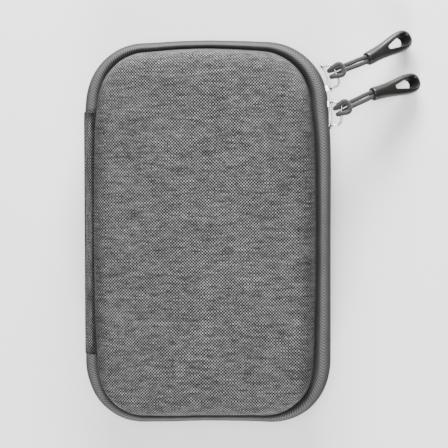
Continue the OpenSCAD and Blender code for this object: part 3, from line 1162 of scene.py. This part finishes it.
def rounded_plate(outline, x0, x1, bevel, crown=0.0):
    """A plate with round edges: rings of the outline (y, z), drawn in towards both faces."""
    outline = np.array(outline, float)
    tangent = units(np.roll(outline, -1, 0) - np.roll(outline, 1, 0))
    inward = np.column_stack([-tangent[:, 1], tangent[:, 0]])
    quarter = [math.radians(90 * k / 4) for k in range(5)]
    levels = [(bevel * (1 - math.sin(a)), x0 + bevel * (1 - math.cos(a))) for a in quarter]
    levels += [(bevel * (1 - math.sin(a)), x1 - bevel * (1 - math.cos(a))) for a in quarter[::-1]]
    verts = []
    for inset, x in levels:
        verts += [(x, y, z) for y, z in outline + inset * inward]
    for scale in (0.75, 0.45, 0.15):
        ring = (outline + levels[-1][0] * inward) * scale
        verts += [(x1 + crown * (1 - scale ** 2), y, z) for y, z in ring]
    return verts, tube_faces(len(verts) // len(outline), len(outline))


def plate_outline(half_l):
    """A rounded rectangle (y, z) that widens from its tail to its nose."""
    points = []
    for c, d in circle(56):
        along = squared(c, PLATE_ROUND)
        w = PLATE_TAIL + (PLATE_NOSE - PLATE_TAIL) * (0.5 + 0.5 * along)
        points.append((half_l * along, w * squared(d, PLATE_ROUND)))
    return points


def merged(name, parts, material, matrix):
    """One object from several closed shells given as (verts, faces)."""
    verts, faces = [], []
    for v, f in parts:
        base = len(verts)
        verts += [tuple(matrix @ Vector(p)) for p in v]
        faces += [tuple(base + i for i in face) for face in f]
    return add_object(name, verts, faces, material, [(p[0], p[1]) for p in verts])


def block(x, y, z, bevel):
    """A block with rounded edges between two x, two y and two z, in millimetres."""
    (x0, x1), (y0, y1), (z0, z1) = x, y, z
    cy, cz, hy, hz = (y0 + y1) / 2, (z0 + z1) / 2, (y1 - y0) / 2, (z1 - z0) / 2
    outline = [(hy * squared(c, 0.25), hz * squared(d, 0.25)) for c, d in circle(32)]
    verts, faces = rounded_plate(outline, x0, x1, bevel)
    return [(px * MM, (py + cy) * MM, (pz + cz) * MM) for px, py, pz in verts], faces


def slider_body(number):
    """Two rounded plates with turned-in flanges, the wedge between them at the nose, and a raised rail."""
    outer = rounded_plate(plate_outline(7.75 * MM), PLATE_X, PLATE_X + PLATE_T, 0.4 * MM, 0.12 * MM)
    inner = rounded_plate(plate_outline(7.6 * MM), INNER_X, INNER_X + PLATE_T, 0.35 * MM)
    out, top, into = PLATE_X / MM, (PLATE_X + PLATE_T) / MM, INNER_X / MM
    wedge = block((into + 0.6, out + 0.3), (3.6, 7.0), (-0.32, 0.32), 0.1)
    rail = block((top - 0.2, top + 0.45), (-6.6, 6.9), (-1.25, 1.25), 0.25)
    flanges = [block((out - 0.25, out + 0.3), (-6.5, 2.5), (z - 0.3, z + 0.3), 0.15) for z in (-2.85, 2.85)]
    name = f"slider_{number}"
    obj = merged(name + "_plates", [outer, inner, wedge, rail] + flanges, METAL, slider_frame(number))
    place(obj, name, "slider_metal", name + "_body")


def slider_bridge(number):
    """A D-shaped bail of flattened wire over the rail."""
    base, r, half = PLATE_X + PLATE_T, BAIL_BEND, BAIL_HALF
    bend = [(base + BAIL_OUT - r + r * math.sin(a), r * math.cos(a) - r + half)
            for a in (math.radians(10 * k) for k in range(10))]
    foot = (base - 0.3 * MM, half)
    path = [(x, -y) for x, y in [foot] + bend] + bend[::-1] + [foot]
    dense = [(a[0] + (b[0] - a[0]) * t, a[1] + (b[1] - a[1]) * t)
             for a, b in zip(path, path[1:]) for t in (0, 0.5)]
    matrix = slider_frame(number)
    points = [matrix @ Vector((x, y + BAIL_SHIFT, 0)) for x, y in dense + [foot]]
    obj = tube(f"slider_{number}_bail", points, BAIL_WIRE, METAL, 12)
    place(obj, f"slider_{number}", "slider_metal", f"slider_{number}_bridge")


for number in (1, 2):
    slider_body(number)
    slider_bridge(number)


# ---- pulls
PULL_L = 44.5 * MM
TAB_L = 29.5 * MM
TAB_T = 6 * MM
PULL_SLOPE = math.asin((MID_Z - FLOOR_Z - TAB_T / 2 - 0.3 * MM) / PULL_L)
KNOT_X = 4.6 * MM
MOUTH_X = PULL_L - TAB_L
CORD_R = 1.2 * MM
TAB_TURN = {1: math.radians(6), 2: math.radians(-8)}
STRAND_Y = 1.15
BRAID_PITCH = 1.6 * MM
BRAID_RELIEF = 0.05


def pull_frame(number):
    """Local axes at a pull's hitch: x level along the pull, z up."""
    at = Vector(JOINTS[f"pull_{number}_swing"]["pos_m"])
    to = Vector(JOINTS[f"pull_{number}_lift"]["pos_m"])
    along = (to - at).normalized()
    turn = math.atan2(along.y, along.x)
    return Matrix.Translation(at) @ Matrix.Rotation(turn, 4, "Z")


def tab_frame(number):
    """Local axes of a tab: the origin in its mouth, x towards its tip, z out of its upper face."""
    slope = Matrix.Translation((KNOT_X, 0, 0)) @ Matrix.Rotation(PULL_SLOPE, 4, "Y")
    turn = Matrix.Rotation(TAB_TURN[number], 4, "Z")
    return pull_frame(number) @ slope @ Matrix.Translation((MOUTH_X, 0, 0)) @ turn


def sloped(x, y=0.0, z=0.0):
    """A point in millimetres at x along the sloping stretch, in the pull's own axes."""
    k = KNOT_X / MM
    return (k + x * math.cos(PULL_SLOPE) + z * math.sin(PULL_SLOPE), y,
            -x * math.sin(PULL_SLOPE) + z * math.cos(PULL_SLOPE))


CURVE_STEPS = 14


def smooth_path(points):
    """A Catmull-Rom curve through the points."""
    p = np.array([points[0]] + list(points) + [points[-1]], float)
    out = []
    for i in range(1, len(p) - 2):
        for k in range(CURVE_STEPS):
            t = k / CURVE_STEPS
            a, b, c, d = p[i - 1], p[i], p[i + 1], p[i + 2]
            out.append(0.5 * ((2 * b) + (c - a) * t + (2 * a - 5 * b + 4 * c - d) * t ** 2
                              + (3 * b - a - 3 * c + d) * t ** 3))
    out.append(p[-2])
    return np.array(out)


def strand_in_tab(number, side):
    """Two points of one strand inside the tab, from the inner one to its mouth."""
    turn, m, y = TAB_TURN[number], MOUTH_X / MM, side * STRAND_Y
    return [sloped(m + x * math.cos(turn) - y * math.sin(turn), x * math.sin(turn) + y * math.cos(turn))
            for x in (3.0, 1.0)]


# Half of the cord outside the tab, in the pull's own axes and in millimetres: along it, then round the bail.
HITCH_ROUTE = [sloped(13.0, 1.22), sloped(9.5, 1.3, 0.15), sloped(6.0, 1.22, 0.1), sloped(3.0, 1.2)] + [
    (4.4, 1.25, -0.9), (2.4, 1.3, -1.5), (0.2, 1.4, -2.0), (-1.9, 1.5, -2.0), (-2.9, 1.6, -0.5),
    (-2.85, 1.75, 0.8), (-1.9, 2.0, 2.0), (0.0, 2.5, 2.3), (1.9, 3.0, 2.2), (3.4, 2.7, 1.9), (4.2, 1.4, 1.75),
]


def pull_cord(number):
    """One cord: from the tab's mouth, hitched round the bridge, and back beside itself."""
    back = [(x, -y, z) for x, y, z in HITCH_ROUTE[::-1]]
    whole = strand_in_tab(number, 1) + HITCH_ROUTE + [(4.4, 0.0, 1.7)] + back
    whole += strand_in_tab(number, -1)[::-1]
    matrix = pull_frame(number)
    path = smooth_path([tuple(matrix @ (Vector(p) * MM)) for p in whole])

    def braid(s, t):
        along = s * math.pi / BRAID_PITCH
        return 1.0 + BRAID_RELIEF * math.sin(2 * t + along) * math.sin(2 * t - along)

    obj = tube(f"pull_{number}_braid", path, (CORD_R, CORD_R), BRAID, 20, braid)
    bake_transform(obj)
    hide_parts(f"pull_{number}_hitch", f"pull_{number}_cord")


# Along a tab from its mouth, in millimetres: its half width, its half thickness and how square it is.
TAB_SHAPE = (
    (0.0, 3.3, 3.3, 1.0), (0.15, 3.5, 3.5, 1.0), (0.5, 3.62, 3.6, 1.0), (1.6, 3.65, 3.62, 1.0),
    (3.5, 3.66, 3.6, 1.0), (6.0, 3.7, 3.45, 0.95), (9.0, 3.85, 3.2, 0.85), (12.0, 4.15, 3.02, 0.75),
    (15.0, 4.55, 2.95, 0.68), (18.0, 4.98, 2.95, 0.62), (21.0, 5.32, 2.95, 0.6), (23.5, 5.42, 2.95, 0.6),
    (25.5, 5.2, 2.92, 0.6), (27.0, 4.65, 2.85, 0.6), (28.2, 3.75, 2.65, 0.62), (29.0, 2.6, 2.3, 0.7),
    (29.4, 1.4, 1.6, 0.8), (29.5, 0.5, 0.7, 1.0),
)
# The hole at heights through the tab, in millimetres: its narrow end, its wide end and its half width.
NARROW_END = 1.15
HOLE_SHAPE = (
    (4.2, 13.4, 28.8, 3.7), (2.6, 13.6, 28.2, 3.35), (0.0, 13.8, 26.6, 3.05), (-4.2, 13.8, 24.0, 2.8),
)
# The mouth's recess: (x, radius).
RECESS = ((-1.0, 2.75), (0.4, 2.6), (2.2, 2.5))
TAB_VOXEL = 0.2 * MM


def drop_outline(point_x, end_x, w):
    """A wide round end and a narrow one, joined by their two tangents."""
    wide_x, narrow_x = end_x - w, point_x + NARROW_END
    lean = math.acos((w - NARROW_END) / (wide_x - narrow_x))
    wide = np.linspace(-(math.pi - lean), math.pi - lean, 40)
    narrow = np.linspace(math.pi - lean, math.pi + lean, 10)
    return [(wide_x + w * math.cos(a), w * math.sin(a)) for a in wide] + [
        (narrow_x + NARROW_END * math.cos(a), NARROW_END * math.sin(a)) for a in narrow]


def loft(name, rings):
    """A closed shell over rings of points that are given in millimetres."""
    verts = [(x * MM, y * MM, z * MM) for ring in rings for x, y, z in ring]
    return add_object(name, verts, tube_faces(len(rings), len(rings[0])), RUBBER)


def pull_tab(number):
    """A round collar that widens into a flat loop with a flared, drop-shaped hole, in one moulding."""
    obj = loft(f"pull_{number}_loop_tab", [
        [(x, w * squared(c, power), h * squared(d, power)) for c, d in circle(40)]
        for x, w, h, power in TAB_SHAPE])
    hole = loft("hole_tool", [
        [(x, y, z) for x, y in drop_outline(narrow, wide, w)] for z, narrow, wide, w in HOLE_SHAPE])
    recess = loft("mouth_tool", [[(x, r * c, r * d) for c, d in circle(32)] for x, r in RECESS])
    for tool in (hole, recess):
        boolean = obj.modifiers.new("cut", "BOOLEAN")
        boolean.operation = "DIFFERENCE"
        boolean.solver = "EXACT"
        boolean.object = tool
    remesh = obj.modifiers.new("remesh", "REMESH")
    remesh.mode = "VOXEL"
    remesh.voxel_size = TAB_VOXEL
    smooth = obj.modifiers.new("smooth", "SMOOTH")
    smooth.factor = 0.5
    smooth.iterations = 6
    apply_modifiers(obj)
    for tool in (hole, recess):
        bpy.data.objects.remove(tool)
    obj.data.materials.clear()
    obj.data.materials.append(RUBBER)
    obj.data.transform(tab_frame(number))
    place(obj, f"pull_{number}", "pull_tab", f"pull_{number}_tab")


for number in (1, 2):
    pull_tab(number)
    pull_cord(number)


# ---- studio
FLOOR_HALF = 3.0
WORLD_LIGHT = 0.08
# Each light's place, the point it faces, its size in metres and its power in watts.
LIGHTS = {
    "top_end": ((0.05, 0.9, 0.33), (0, 0.05, 0.03), (0.5, 0.3), 38),
    "low_end": ((0.0, -0.9, 0.48), (0, -0.05, 0.03), (0.5, 0.3), 17),
    "overhead": ((0.08, 0.1, 1.3), (0, 0, 0), (0.45, 0.45), 15),
}


def floor():
    s = Shader("floor")
    value = s.patches(s.position(), 3, 2, 0.9, 0.92)
    material = s.finish(Base_Color=s.tint(value, (1, 1, 1)), Roughness=0.9)
    corners = [(x * FLOOR_HALF, y * FLOOR_HALF, FLOOR_Z) for x, y in ((-1, -1), (1, -1), (1, 1), (-1, 1))]
    obj = add_object("floor", corners, [(0, 1, 2, 3)], material)


def area_light(name, location, target, size, power):
    data = bpy.data.lights.new(name, "AREA")
    data.shape = "RECTANGLE"
    data.size, data.size_y = size
    data.energy = power
    obj = new_object(name, data)
    obj.location = location
    obj.rotation_euler = (Vector(location) - Vector(target)).to_track_quat("Z", "Y").to_euler()


def studio():
    floor()
    for name, values in LIGHTS.items():
        area_light(name, *values)
    world = bpy.data.worlds.new("studio")
    world.use_nodes = True
    background = world.node_tree.nodes["Background"].inputs
    background[0].default_value = (1, 1, 1, 1)
    background[1].default_value = WORLD_LIGHT
    bpy.context.scene.world = world


studio()
